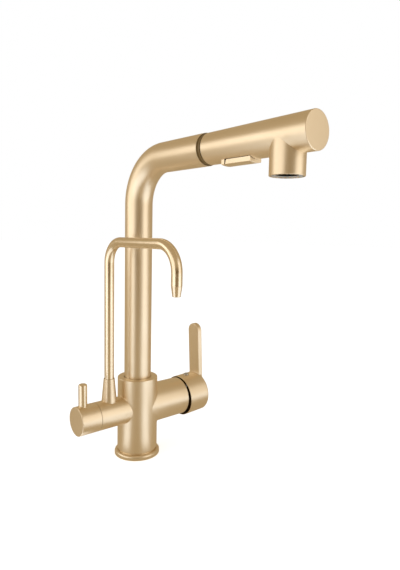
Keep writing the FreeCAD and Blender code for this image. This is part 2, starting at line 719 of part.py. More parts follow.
def spray_waterway():
    shank_length = HEAD_BACK_Y - SHANK_END_Y
    shank = rod((0, SHANK_END_Y, SPOUT_AXIS_Z), -Y, SHANK_R, -shank_length + 2.0)
    plug = rod((0, HEAD_BACK_Y - 2.0, SPOUT_AXIS_Z), -Y, 12.4, 5.0)
    channel = rod((0, HEAD_BACK_Y - 5.0, 331.0), -Y, 6.5, 80.0)
    riser = rod((0, OUTLET_Y, 308.0), Z, 8.0, 23.0)
    chamber = rod((0, OUTLET_Y, 307.0), Z, 12.4, 13.0)
    guide = block((-5.0, PLUNGER_Y - 6.0, 319.2), (5.0, PLUNGER_Y + 6.0, 328.0))
    shape = joined(shank, plug, channel, riser, chamber, guide)
    cuts = [rod((0, SHANK_END_Y + 1, SPOUT_AXIS_Z), -Y, 7.0, 9.6)]
    cuts.append(rod((0, SHANK_END_Y, SPOUT_AXIS_Z), -Y, 4.0, 30.0))
    cuts.append(rod((0, HEAD_BACK_Y - 8.0, 331.0), -Y, 4.8, 74.0))
    cuts.append(rod((0, OUTLET_Y, 306.0), Z, 5.5, 24.0))
    cuts.append(rod((0, OUTLET_Y, 306.0), Z, 10.5, 10.0))
    cuts.append(rod((0, PLUNGER_Y, 318.0), Z, PLUNGER_R + FIT, 8.5))
    return shape.cut(cuts)


def hose_head_fitting():
    start = -HOSE_HEAD_Y
    return turned([
        (3.0, start - 6.0), (HOSE_BORE_R, start - 6.0), (HOSE_BORE_R, start), (8.5, start, 0.4),
        (8.5, 96.9, 0.4), (7.0, 96.9), (7.0, 105.4), (3.0, 105.4),
    ], (0, 0, SPOUT_AXIS_Z), -Y)


def spray_face():
    rim = turned([
        (9.9, 307.0), (9.9, 298.6), (10.6, 298.6), (13.2, 298.6, 0.4), (13.2, 300.0), (12.5, 300.0),
        (12.5, 307.0),
    ], (0, OUTLET_Y, 0))
    nozzles = []
    for i in range(20):
        turn = math.radians(18 * i)
        place = (11.6 * math.cos(turn), OUTLET_Y + 11.6 * math.sin(turn), 297.9)
        nozzles.append(rod(place, Z, 0.7, 1.5))
    return rim.fuse(nozzles)


def aerator_insert():
    cup = rod((0, OUTLET_Y, 299.4), Z, 9.8, 8.6)
    holes = [rod((0, OUTLET_Y, 298.0), Z, 1.0, 12.0)]
    for ring_r, count in ((3.2, 6), (6.2, 12)):
        for i in range(count):
            turn = 2 * math.pi * i / count
            place = (ring_r * math.cos(turn), OUTLET_Y + ring_r * math.sin(turn), 298.0)
            holes.append(rod(place, Z, 1.0, 12.0))
    return cup.cut(holes)


# ---- button ----


def crowned_block(half, back_y, front_y, top_z):
    """A block along Y whose underside bulges down a little in the middle."""
    left = Vector(-half, back_y, BUTTON_EDGE_Z)
    right = Vector(half, back_y, BUTTON_EDGE_Z)
    top_left = Vector(-half, back_y, top_z)
    top_right = Vector(half, back_y, top_z)
    edges = [Part.Arc(left, Vector(0, back_y, BUTTON_EDGE_Z - BUTTON_CROWN), right).toShape()]
    edges += [Part.LineSegment(right, top_right).toShape(), Part.LineSegment(top_right, top_left).toShape()]
    edges.append(Part.LineSegment(top_left, left).toShape())
    return Part.Face(Part.Wire(edges)).extrude(Y * (front_y - back_y))


def button_hinge_block():
    back = BUTTON_BACK_Y + 3.9
    post = crowned_block(BUTTON_HALF_WIDTH + GAP, back, BUTTON_BACK_Y + GAP, 318.2)
    tongue = block((-3.0, BUTTON_PIN_Y - 1.9, 313.0), (3.0, back, 316.2))
    return joined(post, tongue).cut(rod((-10, BUTTON_PIN_Y, BUTTON_PIN_Z), X, BUTTON_PIN_R, 20.0))


def button_hinge_pin():
    return rod((-6.4, BUTTON_PIN_Y, BUTTON_PIN_Z), X, BUTTON_PIN_R, 12.8)


def spray_button():
    """A block with a crowned underside, whose back face leans away from the hinge block."""
    solid = crowned_block(BUTTON_HALF_WIDTH, BUTTON_BACK_Y, BUTTON_FRONT_Y, BUTTON_TOP_Z)
    below = [e for e in solid.Edges if e.BoundBox.ZMax < BUTTON_EDGE_Z + 0.1]
    solid = solid.makeFillet(0.5, below)
    corner = Vector(-10, BUTTON_BACK_Y, BUTTON_TOP_Z)
    low = Vector(-10, BUTTON_BACK_Y, BUTTON_EDGE_Z)
    wedge = Part.Face(Part.makePolygon([low, corner - Y * 1.3, corner, low])).extrude(X * 20)
    solid = solid.cut(wedge)
    notch = block((-3.0 - GAP, BUTTON_PIN_Y - 2.4, 312.5), (3.0 + GAP, BUTTON_BACK_Y + 1, 320.0))
    bore = rod((-6.6, BUTTON_PIN_Y, BUTTON_PIN_Z), X, BUTTON_PIN_R + FIT, 13.2)
    return solid.cut([notch, bore])


def diverter_plunger():
    low = BUTTON_TOP_Z + 0.3
    return turned([(0, low), (PLUNGER_R, low, 0.4), (PLUNGER_R, PLUNGER_TOP_Z), (0, PLUNGER_TOP_Z)],
                  (0, PLUNGER_Y, 0))


def diverter_spring():
    """A coil of round wire between the plunger and the top of its guide."""
    low = PLUNGER_TOP_Z + SPRING_WIRE_R + 0.05
    height = SPRING_SEAT_Z - SPRING_WIRE_R - 0.05 - low
    line, heading = coil_line(SPRING_COIL_R, height / SPRING_TURNS, SPRING_TURNS)
    wire = Part.Wire(Part.makeCircle(SPRING_WIRE_R, Vector(SPRING_COIL_R, 0, 0), heading))
    spring = line.makePipeShell([wire], True, False)
    spring.translate(Vector(0, PLUNGER_Y, low))
    return spring


PARTS = {
    "base_ring": base_ring,
    "deck_seal": deck_seal,
    "tap_body": tap_body,
    "column_guide_ring": column_guide_ring,
    "spout_thrust_washer": spout_thrust_washer,
    "spout_retaining_screw": spout_retaining_screw,
    "cartridge_seal": cartridge_seal,
    "cartridge_housing": cartridge_housing,
    "fixed_disc": fixed_disc,
    "cartridge_nut": cartridge_nut,
    "cartridge_rotor": cartridge_rotor,
    "stem_pivot_pin": stem_pivot_pin,
    "cartridge_stem": cartridge_stem,
    "disc_carrier": disc_carrier,
    "sliding_disc": sliding_disc,
    "mixer_handle": mixer_handle,
    "handle_grub_screw": handle_grub_screw,
    "handle_screw_plug": handle_screw_plug,
    "filter_seal": filter_seal,
    "filter_headwork": filter_headwork,
    "filter_fixed_disc": filter_fixed_disc,
    "filter_turning_disc": filter_turning_disc,
    "filter_spindle": filter_spindle,
    "filter_knob": filter_knob,
    "filter_grub_screw": filter_grub_screw,
    "filter_lever_pin": filter_lever_pin,
    "filter_ferrule": filter_ferrule,
    "filter_wiper_ring": filter_wiper_ring,
    "filter_spout_tube": filter_spout_tube,
    "filter_spout_foot": filter_spout_foot,
    "filter_spout_oring": filter_spout_oring,
    "filter_spout_tip": filter_spout_tip,
    "filter_tip_screen": filter_tip_screen,
    "spout_tube": spout_tube,
    "spout_foot": spout_foot,
    "lower_swivel_ring": lower_swivel_ring,
    "upper_swivel_ring": upper_swivel_ring,
    "docking_collar": docking_collar,
    "docking_bush": docking_bush,
    "pull_out_hose": pull_out_hose,
    "hose_tail_fitting": hose_tail_fitting,
    "head_shell": head_shell,
    "docking_cushion": docking_cushion,
    "spray_waterway": spray_waterway,
    "hose_head_fitting": hose_head_fitting,
    "spray_face": spray_face,
    "aerator_insert": aerator_insert,
    "button_hinge_block": button_hinge_block,
    "button_hinge_pin": button_hinge_pin,
    "spray_button": spray_button,
    "diverter_plunger": diverter_plunger,
    "diverter_spring": diverter_spring,
}

os.makedirs("parts", exist_ok=True)
for name, make in PARTS.items():
    shape = make()
    shape.exportStep("parts/" + name + ".step")
    print(name, "solids", len(shape.Solids), "valid", shape.isValid(), "cm3", round(shape.Volume / 1000, 3))
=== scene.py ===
import json
import math

import bpy
from mathutils import Matrix, Vector


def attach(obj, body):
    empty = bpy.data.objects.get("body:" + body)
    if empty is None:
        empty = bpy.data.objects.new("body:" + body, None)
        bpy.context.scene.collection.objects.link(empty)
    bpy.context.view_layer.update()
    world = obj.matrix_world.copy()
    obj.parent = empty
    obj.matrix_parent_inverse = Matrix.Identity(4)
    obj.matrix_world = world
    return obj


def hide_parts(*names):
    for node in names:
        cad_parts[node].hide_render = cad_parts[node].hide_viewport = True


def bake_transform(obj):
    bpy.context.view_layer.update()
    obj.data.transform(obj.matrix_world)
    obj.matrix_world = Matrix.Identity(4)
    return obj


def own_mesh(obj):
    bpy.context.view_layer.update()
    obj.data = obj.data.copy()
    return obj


# A three way filtered water tap in satin champagne gold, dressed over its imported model. Metres.
# +Z is up, the main spout points along -Y, the mixer lever is on +X and the filter lever on -X.

MM = 0.001

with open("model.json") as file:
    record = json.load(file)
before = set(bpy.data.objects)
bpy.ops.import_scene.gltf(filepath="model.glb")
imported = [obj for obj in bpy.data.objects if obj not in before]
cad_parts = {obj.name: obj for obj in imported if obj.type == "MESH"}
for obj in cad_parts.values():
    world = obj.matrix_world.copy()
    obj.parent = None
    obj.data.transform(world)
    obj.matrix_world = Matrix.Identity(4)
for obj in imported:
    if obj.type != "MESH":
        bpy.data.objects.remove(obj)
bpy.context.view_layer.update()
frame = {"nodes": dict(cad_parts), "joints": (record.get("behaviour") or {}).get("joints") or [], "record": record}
nodes = frame["nodes"]

# ---- places on the tap ----

SPOUT_AXIS_Z = 329 * MM
SPOUT_BEND_R = 46 * MM
HOSE_R = 6 * MM
HOSE_BORE_R = 4 * MM
HOSE_TAIL_Z = 14 * MM
HOSE_HEAD_Y = -92 * MM
HOSE_STRETCH_Y = -60 * MM  # the hose's slack is paid out between here and its head end
HOSE_SIDES = 48
HOSE_RISE_RINGS = 24
HOSE_BEND_RINGS = 28
HOSE_LEVEL_RINGS = 6
HOSE_STRETCH_RINGS = 100
HOSE_MERGE = 0.01 * MM
HOSE_ATTRIBUTE = "hose_place"
PULL_OUT = next(joint["range_m"][1] for joint in frame["joints"] if joint["name"] == "spray_pull_out")
BRAID_BUNDLES = 24  # each way round the hose
BRAID_STEP = 1.6 * MM
BRAID_RELIEF = 0.25 * MM

OUTLET_Y = -202.5 * MM
SPRAY_FACE_Z = 298.6 * MM
SPRAY_FACE_TOP_Z = 307 * MM
SPRAY_FACE_R = 13.2 * MM
SPRAY_FACE_BORE_R = 9.9 * MM
SPRAY_FACE_EDGE = 0.35 * MM
FLAT_RING_DEPTH = 0.7 * MM
FLAT_RING_EDGE = 0.1 * MM
FLAT_RING_GAP = 0.05 * MM
RING_SIDES = 96
SPRAY_LIP_R = 9.85 * MM
AERATOR_RIM_R = 9.2 * MM
AERATOR_RIM_BORE_R = 6.0 * MM
NOZZLES = 20
NOZZLE_SIDES = 24
NOZZLE_CIRCLE_R = 11.6 * MM
NOZZLE_STAND = 0.9 * MM  # below the spray face
NOZZLE_DEPTH = 1.5 * MM
NOZZLE_TIP_R = 0.62 * MM
NOZZLE_ROOT_R = 1.05 * MM
NOZZLE_WALL = 0.24 * MM
NOZZLE_HOLE_DEPTH = 0.8 * MM
NOZZLE_EDGE = 0.08 * MM

PLUNGER_Y = -156.5 * MM
SPRING_LOW_Z = 321.85 * MM
SPRING_PITCH = 1.075 * MM
SPRING_TURNS = 4
SPRING_COIL_R = 2.3 * MM
SPRING_WIRE_R = 0.3 * MM
SPRING_WIRE_SIDES = 12
SPRING_TURN_STEPS = 32
SPRING_MERGE = 0.001 * MM

ARM_AXIS_Z = 54.5 * MM
HUB_MIDDLE_X = 77 * MM
HUB_MOUTH_R = 23.62 * MM
HUB_CAVITY_END_X = 76.5 * MM
HANDLE_LEAN = math.radians(3.0)
# painted shade: the dark brown inside the hub's hollow, where shade falls
PAINTED_SHADE_BRASS = "#6B5026"
DULL_ROUGHNESS = 0.7

LEVEL = 0.5  # a face is level where its normal's Z is past this
CLOUDS_A_METRE = 28.0  # uneven patches in a finish, about 36 mm across

# ---- the photograph's viewpoint ----

CAMERA_PLACE = Vector((-0.29936, -0.43712, 0.24908))
CAMERA_YAW_DEG = 41.9004  # to the right of +Y
CAMERA_PITCH_DEG = 5.8182  # below the horizon
CAMERA_ROLL_DEG = 1.2091
CAMERA_LENS_MM = 29.77
SENSOR_MM = 36.0


def camera_axes():
    """The camera's right, up and forward directions."""
    yaw = math.radians(CAMERA_YAW_DEG)
    pitch = math.radians(CAMERA_PITCH_DEG)
    roll = math.radians(CAMERA_ROLL_DEG)
    level_run = math.cos(pitch)
    forward = Vector((math.sin(yaw) * level_run, math.cos(yaw) * level_run, -math.sin(pitch)))
    level = Vector((math.cos(yaw), -math.sin(yaw), 0.0))
    above = level.cross(forward)
    right = level * math.cos(roll) + above * math.sin(roll)
    up = above * math.cos(roll) - level * math.sin(roll)
    return right, up, forward


def add_camera():
    right, up, forward = camera_axes()
    data = bpy.data.cameras.new("camera")
    data.lens = CAMERA_LENS_MM
    data.sensor_width = SENSOR_MM
    data.clip_start = 0.01
    data.clip_end = 50.0
    camera = bpy.data.objects.new("camera", data)
    turn = Matrix((right, up, -forward)).transposed().to_4x4()
    camera.matrix_world = Matrix.Translation(CAMERA_PLACE) @ turn
    bpy.context.scene.collection.objects.link(camera)
    bpy.context.scene.camera = camera


# ---- materials ----


def linear(hex_colour):
    """An sRGB hex colour as the linear colour that a shader socket takes."""
    channels = [int(hex_colour[i:i + 2], 16) / 255 for i in (1, 3, 5)]
    return tuple(c / 12.92 if c <= 0.04045 else ((c + 0.055) / 1.055) ** 2.4 for c in channels) + (1.0,)


def add_node(tree, kind, sockets=None, **properties):
    """Adds one node. Each named or numbered socket takes a value or another node's output."""
    node = tree.nodes.new(kind)
    for name, value in properties.items():
        setattr(node, name, value)
    for socket, value in (sockets or {}).items():
        if isinstance(value, bpy.types.NodeSocket):
            tree.links.new(value, node.inputs[socket])
        else:
            node.inputs[socket].default_value = value
    return node


def new_material(name):
    material = bpy.data.materials.new(name)
    material.use_nodes = True
    material.node_tree.nodes.clear()
    return material


def grained(name, shades, gloss, grain_mm, depth_mm, metallic=0.0, **sockets):
    """A surface with an even fine grain. Colour and roughness waver a little, each between two values."""
    material = new_material(name)
    tree = material.node_tree
    place = add_node(tree, "ShaderNodeTexCoord").outputs["Object"]
    grain = add_node(tree, "ShaderNodeTexNoise",
                     {"Vector": place, "Scale": 1 / (grain_mm * MM), "Detail": 2.0, "Roughness": 0.6})
    cloud = add_node(tree, "ShaderNodeTexNoise",
                     {"Vector": place, "Scale": CLOUDS_A_METRE, "Detail": 3.0})
    patch = add_node(tree, "ShaderNodeMapRange",
                     {"Value": cloud.outputs["Fac"], "From Min": 0.3, "From Max": 0.7})
    colour = add_node(tree, "ShaderNodeMix", {
        "Factor": patch.outputs["Result"], "A": linear(shades[0]), "B": linear(shades[1]),
    }, data_type="RGBA")
    roughness = add_node(tree, "ShaderNodeMapRange",
                         {"Value": patch.outputs["Result"], "To Min": gloss[0], "To Max": gloss[1]})
    bump = add_node(tree, "ShaderNodeBump",
                    {"Height": grain.outputs["Fac"], "Strength": 1.0, "Distance": depth_mm * MM})
    links = {"Base Color": colour.outputs["Result"], "Roughness": roughness.outputs["Result"],
             "Normal": bump.outputs["Normal"], "Metallic": metallic}
    shader = add_node(tree, "ShaderNodeBsdfPrincipled", {**links, **sockets}, name="surface")
    add_node(tree, "ShaderNodeOutputMaterial", {"Surface": shader.outputs["BSDF"]})
    return material


def satin_champagne_gold(name="satin_champagne_gold_pvd_on_brass"):
    """Brass blasted with fine beads and vapour coated: a soft even sheen with no direction. The grain is
    about 0.1 mm across on the real tap, and is drawn coarser so that it shows."""
    return grained(name, ("#F0E1C8", "#EEDEC3"), (0.365, 0.4), grain_mm=0.6, depth_mm=0.01, metallic=1.0)


def fine_champagne_gold():
    """The same coating on drawn tube that was only buffed, so its highlights are narrower and brighter."""
    return grained("buffed_champagne_gold_pvd_on_brass", ("#F0E1C8", "#EEDEC3"), (0.22, 0.27),
                   grain_mm=0.5, depth_mm=0.001, metallic=1.0)


def machined_brass():
    """Uncoated turned brass: yellower than the coating. Its tool marks, about 0.15 mm apart, are drawn as
    an even grain of 0.4 mm."""
    return grained("machined_brass", ("#DDBE78", "#CFAE68"), (0.24, 0.36),
                   grain_mm=0.4, depth_mm=0.01, metallic=1.0)


def stainless_steel():
    """Turned stainless steel: neutral, fairly bright, with a faint grey bloom."""
    return grained("turned_stainless_steel", ("#C6C5C2", "#B4B3B0"), (0.22, 0.32),
                   grain_mm=0.4, depth_mm=0.004, metallic=1.0)


def black_rubber():
    """Moulded EPDM: dull charcoal black with a slight grey bloom where it was handled."""
    return grained("moulded_black_epdm", ("#1C1C1C", "#262625"), (0.6, 0.75), grain_mm=0.5, depth_mm=0.02)


def ivory_acetal():
    """Moulded acetal: waxy ivory that lets a little light in, with a spark-eroded mould texture."""
    return grained("moulded_ivory_acetal", ("#E9E2CF", "#E2DAC4"), (0.38, 0.5), grain_mm=0.4, depth_mm=0.01,
                   **{"Subsurface Weight": 0.15, "Subsurface Scale": 2 * MM, "IOR": 1.48})


def black_abs():
    """Moulded black ABS: near black, half gloss, with a fine mould texture."""
    return grained("moulded_black_abs", ("#141414", "#1B1B1B"), (0.3, 0.4),
                   grain_mm=0.4, depth_mm=0.008, IOR=1.53)


def textured_black_plastic():
    """Glass filled black plastic of the aerator: coarser and duller, so that it stays black at a glance."""
    return grained("textured_black_plastic", ("#0E0E0E", "#131313"), (0.75, 0.85),
                   grain_mm=0.5, depth_mm=0.02, **{"Specular IOR Level": 0.12})


def painted_shade_collar_acetal():
    """Docking collar acetal painted dark brown as gold in the gap's shade, warm like the gold on both sides."""
    return grained("painted_shade_umber_acetal", ("#7A6138", "#82693E"), (0.35, 0.45),
                   grain_mm=0.4, depth_mm=0.008, IOR=1.48)


def grey_silicone():
    """Soft silicone: pale grey, a little translucent, with a dusty sheen that keeps limescale off."""
    return grained("moulded_grey_silicone", ("#CDCBC4", "#C4C2BB"), (0.35, 0.5),
                   grain_mm=0.4, depth_mm=0.01,
                   **{"Subsurface Weight": 0.2, "Subsurface Scale": 1 * MM,
                      "Sheen Weight": 0.2, "IOR": 1.41})


def white_alumina():
    """Lapped alumina: cold white, very smooth, almost mirror flat on its sealing faces."""
    return grained("lapped_white_alumina", ("#F3F1EC", "#ECEAE4"), (0.12, 0.2),
                   grain_mm=0.5, depth_mm=0.001, IOR=1.76)


def handle_gold():
    """Satin gold outside. The hub's uncoated inside is dull and painted dark brown as shade."""
    material = satin_champagne_gold("satin_champagne_gold_pvd_with_painted_shade_inside")
    tree = material.node_tree
    surface = tree.nodes["surface"]
    place = add_node(tree, "ShaderNodeTexCoord").outputs["Object"]
    upright = add_node(tree, "ShaderNodeVectorRotate", {
        "Vector": place, "Center": (HUB_MIDDLE_X, 0.0, ARM_AXIS_Z), "Angle": HANDLE_LEAN,
    }, rotation_type="Y_AXIS")
    parts = add_node(tree, "ShaderNodeSeparateXYZ", {"Vector": upright.outputs["Vector"]})
    height = add_node(tree, "ShaderNodeMath", {0: parts.outputs["Z"], 1: ARM_AXIS_Z},
                      operation="SUBTRACT")
    across = add_node(tree, "ShaderNodeCombineXYZ", {"Y": parts.outputs["Y"], "Z": height.outputs[0]})
    from_axis = add_node(tree, "ShaderNodeVectorMath", {0: across.outputs[0]}, operation="LENGTH")
    near_axis = add_node(tree, "ShaderNodeMath", {0: from_axis.outputs["Value"], 1: HUB_MOUTH_R},
                         operation="LESS_THAN")
    behind = add_node(tree, "ShaderNodeMath", {0: parts.outputs["X"], 1: HUB_CAVITY_END_X},
                      operation="LESS_THAN")
    inside = add_node(tree, "ShaderNodeMath", {0: near_axis.outputs[0], 1: behind.outputs[0]},
                      operation="MULTIPLY")
    # painted shade: inside the hub the colour turns dark brown, and the roughness turns dull
    shade_and_dull_sockets = (("Base Color", linear(PAINTED_SHADE_BRASS), "RGBA"), ("Roughness", DULL_ROUGHNESS, "FLOAT"))
    for socket, dull, kind in shade_and_dull_sockets:
        outside = surface.inputs[socket].links[0].from_socket
        mixed = add_node(tree, "ShaderNodeMix", {"Factor": inside.outputs[0], "A": outside, "B": dull},
                         data_type=kind)
        tree.links.new(mixed.outputs["Result"], surface.inputs[socket])
    return material


def braided_nylon():
    """The hose's braid: flat bundles of grey nylon that cross over and under, about 1.6 mm wide. It reads
    the hose's own attribute: across, up, and the distance along the hose."""
    material = new_material("braided_grey_nylon")
    tree = material.node_tree

    def sums(operation, *values):
        return add_node(tree, "ShaderNodeMath", dict(enumerate(values)), operation=operation).outputs[0]

    place = add_node(tree, "ShaderNodeAttribute", attribute_name=HOSE_ATTRIBUTE).outputs["Vector"]
    parts = add_node(tree, "ShaderNodeSeparateXYZ", {"Vector": place}).outputs
    turns = sums("DIVIDE", sums("ARCTAN2", parts["Y"], parts["X"]), 2 * math.pi)
    around = sums("MULTIPLY", turns, float(BRAID_BUNDLES))
    along = sums("DIVIDE", parts["Z"], BRAID_STEP)
    left, right = sums("ADD", around, along), sums("SUBTRACT", around, along)

    def bundle(count):
        """How high a bundle stands across its width, from 0 at its edges to 1 in its middle."""
        off_middle = sums("SUBTRACT", sums("MULTIPLY", sums("FRACT", count), 2.0), 1.0)
        return sums("SUBTRACT", 1.0, sums("MULTIPLY", off_middle, off_middle))

    over = sums("FLOORED_MODULO", sums("ADD", sums("FLOOR", left), sums("FLOOR", right)), 2.0)
    height = add_node(tree, "ShaderNodeMix", {"Factor": over, "A": bundle(left), "B": bundle(right)},
                      data_type="FLOAT").outputs["Result"]
    # painted shade: each bundle darkens towards its edges, in the creases between bundles
    shades = {"Factor": height, "A": linear("#2B2C2E"), "B": linear("#77797C")}
    colour = add_node(tree, "ShaderNodeMix", shades, data_type="RGBA").outputs["Result"]
    bump = add_node(tree, "ShaderNodeBump", {"Height": height, "Strength": 1.0, "Distance": BRAID_RELIEF})
    shader = add_node(tree, "ShaderNodeBsdfPrincipled", {
        "Base Color": colour, "Roughness": 0.42, "IOR": 1.53, "Sheen Weight": 0.15,
        "Normal": bump.outputs["Normal"],
    })
    add_node(tree, "ShaderNodeOutputMaterial", {"Surface": shader.outputs["BSDF"]})
    return material


FINISHES = {
    "satin_gold": satin_champagne_gold(),
    "polished_gold": fine_champagne_gold(),
    "bare_brass": machined_brass(),
    "black_rubber": black_rubber(),
    "ivory_acetal": ivory_acetal(),
    "black_plastic": black_abs(),
    "grey_silicone": grey_silicone(),
    "steel": stainless_steel(),
    "white_ceramic": white_alumina(),
    "nylon_hose": braided_nylon(),
}
SPECIAL_FINISHES = {
    "mixer_handle": handle_gold(),
    # the docking collar's dark brown is painted shade
    "docking_collar": painted_shade_collar_acetal(),
    "aerator_insert": textured_black_plastic(),
    "filter_ferrule": FINISHES["satin_gold"],
}

for part in frame["record"]["subparts"]:
    mesh = nodes[part["node"]].data
    mesh.materials.clear()
    mesh.materials.append(SPECIAL_FINISHES.get(part["node"]) or FINISHES[part["material_slot"]])

# ---- modelling ----


def select_faces(piece, wanted):
    """Selects in edit mode just the faces for which wanted(face) is true."""
    bpy.context.view_layer.objects.active = piece
    bpy.ops.object.mode_set(mode="EDIT")
    bpy.ops.mesh.select_mode(type="FACE")
    bpy.ops.mesh.select_all(action="DESELECT")
    bpy.ops.object.mode_set(mode="OBJECT")
    for face in piece.data.polygons:
        face.select = wanted(face)
    bpy.ops.object.mode_set(mode="EDIT")


def start_piece(name, primitive, **size):
    """Adds a primitive with nothing else selected, and leaves it in edit mode with all of it selected."""
    bpy.ops.object.select_all(action="DESELECT")
    primitive(**size)
    piece = bpy.context.object
    piece.name = name
    bpy.ops.object.mode_set(mode="EDIT")
    return piece


def extrude(move, steps=1):
    """Extrudes what is selected along move, in even steps."""
    for _ in range(steps):
        bpy.ops.mesh.extrude_region_move(TRANSFORM_OT_translate={"value": Vector(move) / steps})


def is_level(face):
    return abs(face.normal.z) > LEVEL


def apply_modifier(piece, kind, **settings):
    bpy.context.view_layer.objects.active = piece
    modifier = piece.modifiers.new(kind.lower(), kind)
    for name, value in settings.items():
        setattr(modifier, name, value)
    bpy.ops.object.modifier_apply(modifier=modifier.name)


def bevel_edges(piece, width, segments, from_deg=60.0):
    """Bevels the edges that turn by more than from_deg."""
    apply_modifier(piece, "BEVEL", width=width, segments=segments, limit_method="ANGLE",
                   angle_limit=math.radians(from_deg))


def end_piece(piece, slot, *replaced, finish=None, smooth_deg=35.0):
    """Leaves edit mode, puts its place into its mesh, shades it, gives its finish and hides the parts it replaces.
    """
    bpy.ops.object.mode_set(mode="OBJECT")
    bpy.ops.object.transform_apply(location=True, rotation=True, scale=True)
    bpy.ops.object.shade_smooth_by_angle(angle=math.radians(smooth_deg))
    piece.data.materials.clear()
    piece.data.materials.append(finish or FINISHES[slot])
    if replaced:
        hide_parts(*replaced)


# ---- hose ----


def hose_place(point):
    """Where a point of the hose lies in its cross section, and how far along it is when pulled right out."""
    top = SPOUT_AXIS_Z - SPOUT_BEND_R
    rise = top - HOSE_TAIL_Z
    quarter = SPOUT_BEND_R * math.pi / 2
    if point.z < top and point.y > -SPOUT_BEND_R / 2:
        return point.x, point.y, point.z - HOSE_TAIL_Z
    if point.y > -SPOUT_BEND_R:
        up, back = point.z - top, point.y + SPOUT_BEND_R
        return point.x, math.hypot(up, back) - SPOUT_BEND_R, rise + SPOUT_BEND_R * math.atan2(up, back)
    paid_out = min(max((HOSE_STRETCH_Y - point.y) / (HOSE_STRETCH_Y - HOSE_HEAD_Y), 0.0), 1.0)
    travel = PULL_OUT * paid_out ** 2 * (3 - 2 * paid_out)
    return point.x, point.z - SPOUT_AXIS_Z, rise + quarter - SPOUT_BEND_R - point.y + travel


def make_hose():
    """The pull-out hose, with many rings where its slack is paid out."""
    top = SPOUT_AXIS_Z - SPOUT_BEND_R
    hose = start_piece("braided_hose", bpy.ops.mesh.primitive_circle_add, vertices=HOSE_SIDES,
                       radius=HOSE_R, location=(0, 0, HOSE_TAIL_Z))
    extrude((0, 0, top - HOSE_TAIL_Z), HOSE_RISE_RINGS)
    bpy.ops.mesh.spin(steps=HOSE_BEND_RINGS, angle=math.pi / 2, center=(0, -SPOUT_BEND_R, top),
                      axis=(-1, 0, 0))
    extrude((0, HOSE_STRETCH_Y + SPOUT_BEND_R, 0), HOSE_LEVEL_RINGS)
    extrude((0, HOSE_HEAD_Y - HOSE_STRETCH_Y, 0), HOSE_STRETCH_RINGS)
    bpy.ops.mesh.select_all(action="SELECT")
    bpy.ops.mesh.remove_doubles(threshold=HOSE_MERGE)
    bpy.ops.mesh.normals_make_consistent(inside=False)
    bpy.ops.object.mode_set(mode="OBJECT")
    apply_modifier(hose, "SOLIDIFY", thickness=HOSE_R - HOSE_BORE_R, offset=-1.0)
    end_piece(hose, "nylon_hose", "pull_out_hose")
    place = hose.data.attributes.new(HOSE_ATTRIBUTE, "FLOAT_VECTOR", "POINT")
    for vertex, value in zip(hose.data.vertices, place.data):
        value.vector = hose_place(vertex.co)
    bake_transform(hose)


make_hose()

# ---- spray outlet ----


def make_spray_ring():
    """The soft grey ring round the aerator, with a rounded rim."""
    middle_z = (SPRAY_FACE_Z + SPRAY_FACE_TOP_Z) / 2
    ring = start_piece("spray_ring", bpy.ops.mesh.primitive_cylinder_add, vertices=RING_SIDES,
                       radius=SPRAY_FACE_R, depth=SPRAY_FACE_TOP_Z - SPRAY_FACE_Z,
                       location=(0, OUTLET_Y, middle_z))
    select_faces(ring, is_level)
    bpy.ops.mesh.inset(thickness=SPRAY_FACE_R - SPRAY_FACE_BORE_R)
    bpy.ops.mesh.bridge_edge_loops()
    bpy.ops.object.mode_set(mode="OBJECT")
    bevel_edges(ring, SPRAY_FACE_EDGE, segments=3)
    end_piece(ring, "grey_silicone", "spray_face")
    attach(ring, "spray_head")


def make_flat_ring(name, outer_r, bore_r, slot, finish=None):
    """A thin ring level with the spray face, in front of the aerator."""
    middle_z = SPRAY_FACE_Z + FLAT_RING_DEPTH / 2
    ring = start_piece(name, bpy.ops.mesh.primitive_cylinder_add, vertices=RING_SIDES,
                       radius=outer_r, depth=FLAT_RING_DEPTH, location=(0, OUTLET_Y, middle_z))
    select_faces(ring, is_level)
    bpy.ops.mesh.inset(thickness=outer_r - bore_r)
    bpy.ops.mesh.bridge_edge_loops()
    bpy.ops.object.mode_set(mode="OBJECT")
    bevel_edges(ring, FLAT_RING_EDGE, segments=2)
    end_piece(ring, slot, finish=finish)
    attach(ring, "spray_head")


def make_nozzles():
    """A ring of soft nozzles that point down, each with its own hole."""
    middle_z = SPRAY_FACE_Z - NOZZLE_STAND + NOZZLE_DEPTH / 2
    nozzle = start_piece("spray_nozzles", bpy.ops.mesh.primitive_cone_add, vertices=NOZZLE_SIDES,
                         radius1=NOZZLE_TIP_R, radius2=NOZZLE_ROOT_R, depth=NOZZLE_DEPTH,
                         location=(0, OUTLET_Y + NOZZLE_CIRCLE_R, middle_z))
    select_faces(nozzle, lambda face: face.normal.z < -LEVEL)
    bpy.ops.mesh.inset(thickness=NOZZLE_WALL)
    extrude((0, 0, NOZZLE_HOLE_DEPTH))
    bpy.ops.object.mode_set(mode="OBJECT")
    bevel_edges(nozzle, NOZZLE_EDGE, segments=2, from_deg=50.0)
    bpy.ops.object.transform_apply(location=True, rotation=True, scale=True)
    middle = Matrix.Translation((0, OUTLET_Y, 0))
    for i in range(1, NOZZLES):
        copy = nozzle.copy()
        copy.data = nozzle.data.copy()
        turn = Matrix.Rotation(2 * math.pi * i / NOZZLES, 4, "Z")
        copy.data.transform(middle @ turn @ middle.inverted())
        bpy.context.scene.collection.objects.link(copy)
        copy.select_set(True)
    bpy.ops.object.join()
    end_piece(nozzle, "grey_silicone", "spray_face")
    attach(nozzle, "spray_head")


